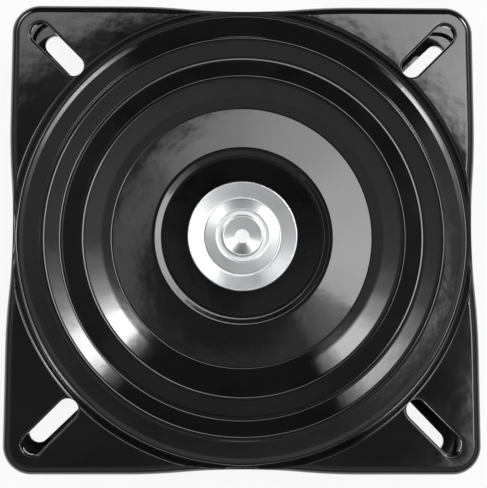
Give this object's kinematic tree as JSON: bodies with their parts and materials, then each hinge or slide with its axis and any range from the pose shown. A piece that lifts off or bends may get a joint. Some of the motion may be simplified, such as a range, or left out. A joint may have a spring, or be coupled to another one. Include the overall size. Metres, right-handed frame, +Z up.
{
  "type": "lazy susan bearing",
  "caption": "Square swivel plate: two pressed steel plates with corner slots turn freely on a caged ball race around a central rivet.",
  "frame": {"origin": "centre of the lower mounting face, on the axis of rotation", "axes": "+Z up along the axis of rotation, towards the upper plate; the lower plate has its sides along X and Y"},
  "size_m": [0.1834, 0.1834, 0.028],
  "materials": {
    "black_gloss_paint": "gloss black paint on pressed steel",
    "zinc_plate": "bright zinc plate",
    "bearing_steel": "polished ball",
    "nylon": "moulded, natural",
    "acetal": "moulded, black"
  },
  "bodies": {
    "base": {"lower_plate": "black_gloss_paint", "centre_rivet": "zinc_plate", "retaining_washer": "zinc_plate", "friction_washer": "acetal"},
    "turntable": {"upper_plate": "black_gloss_paint"},
    "ball_ring": {"ball_cage": "nylon", "ball_01": "bearing_steel", "ball_02": "bearing_steel", "ball_03": "bearing_steel", "ball_04": "bearing_steel", "ball_05": "bearing_steel", "ball_06": "bearing_steel", "ball_07": "bearing_steel", "ball_08": "bearing_steel", "ball_09": "bearing_steel", "ball_10": "bearing_steel", "ball_11": "bearing_steel", "ball_12": "bearing_steel", "ball_13": "bearing_steel", "ball_14": "bearing_steel", "ball_15": "bearing_steel", "ball_16": "bearing_steel", "ball_17": "bearing_steel", "ball_18": "bearing_steel", "ball_19": "bearing_steel", "ball_20": "bearing_steel", "ball_21": "bearing_steel", "ball_22": "bearing_steel", "ball_23": "bearing_steel", "ball_24": "bearing_steel"}
  },
  "joints": [
    {"name": "swivel", "type": "hinge", "parent": "base", "child": "turntable", "pos_m": [0, 0, 0.014], "axis": [0, 0, 1], "continuous": true},
    {"name": "ball_travel", "type": "hinge", "parent": "base", "child": "ball_ring", "pos_m": [0, 0, 0.0201], "axis": [0, 0, 1], "continuous": true}
  ],
  "couplings": [
    {"joint": "ball_travel", "follows": "swivel", "ratio": 0.5}
  ]
}
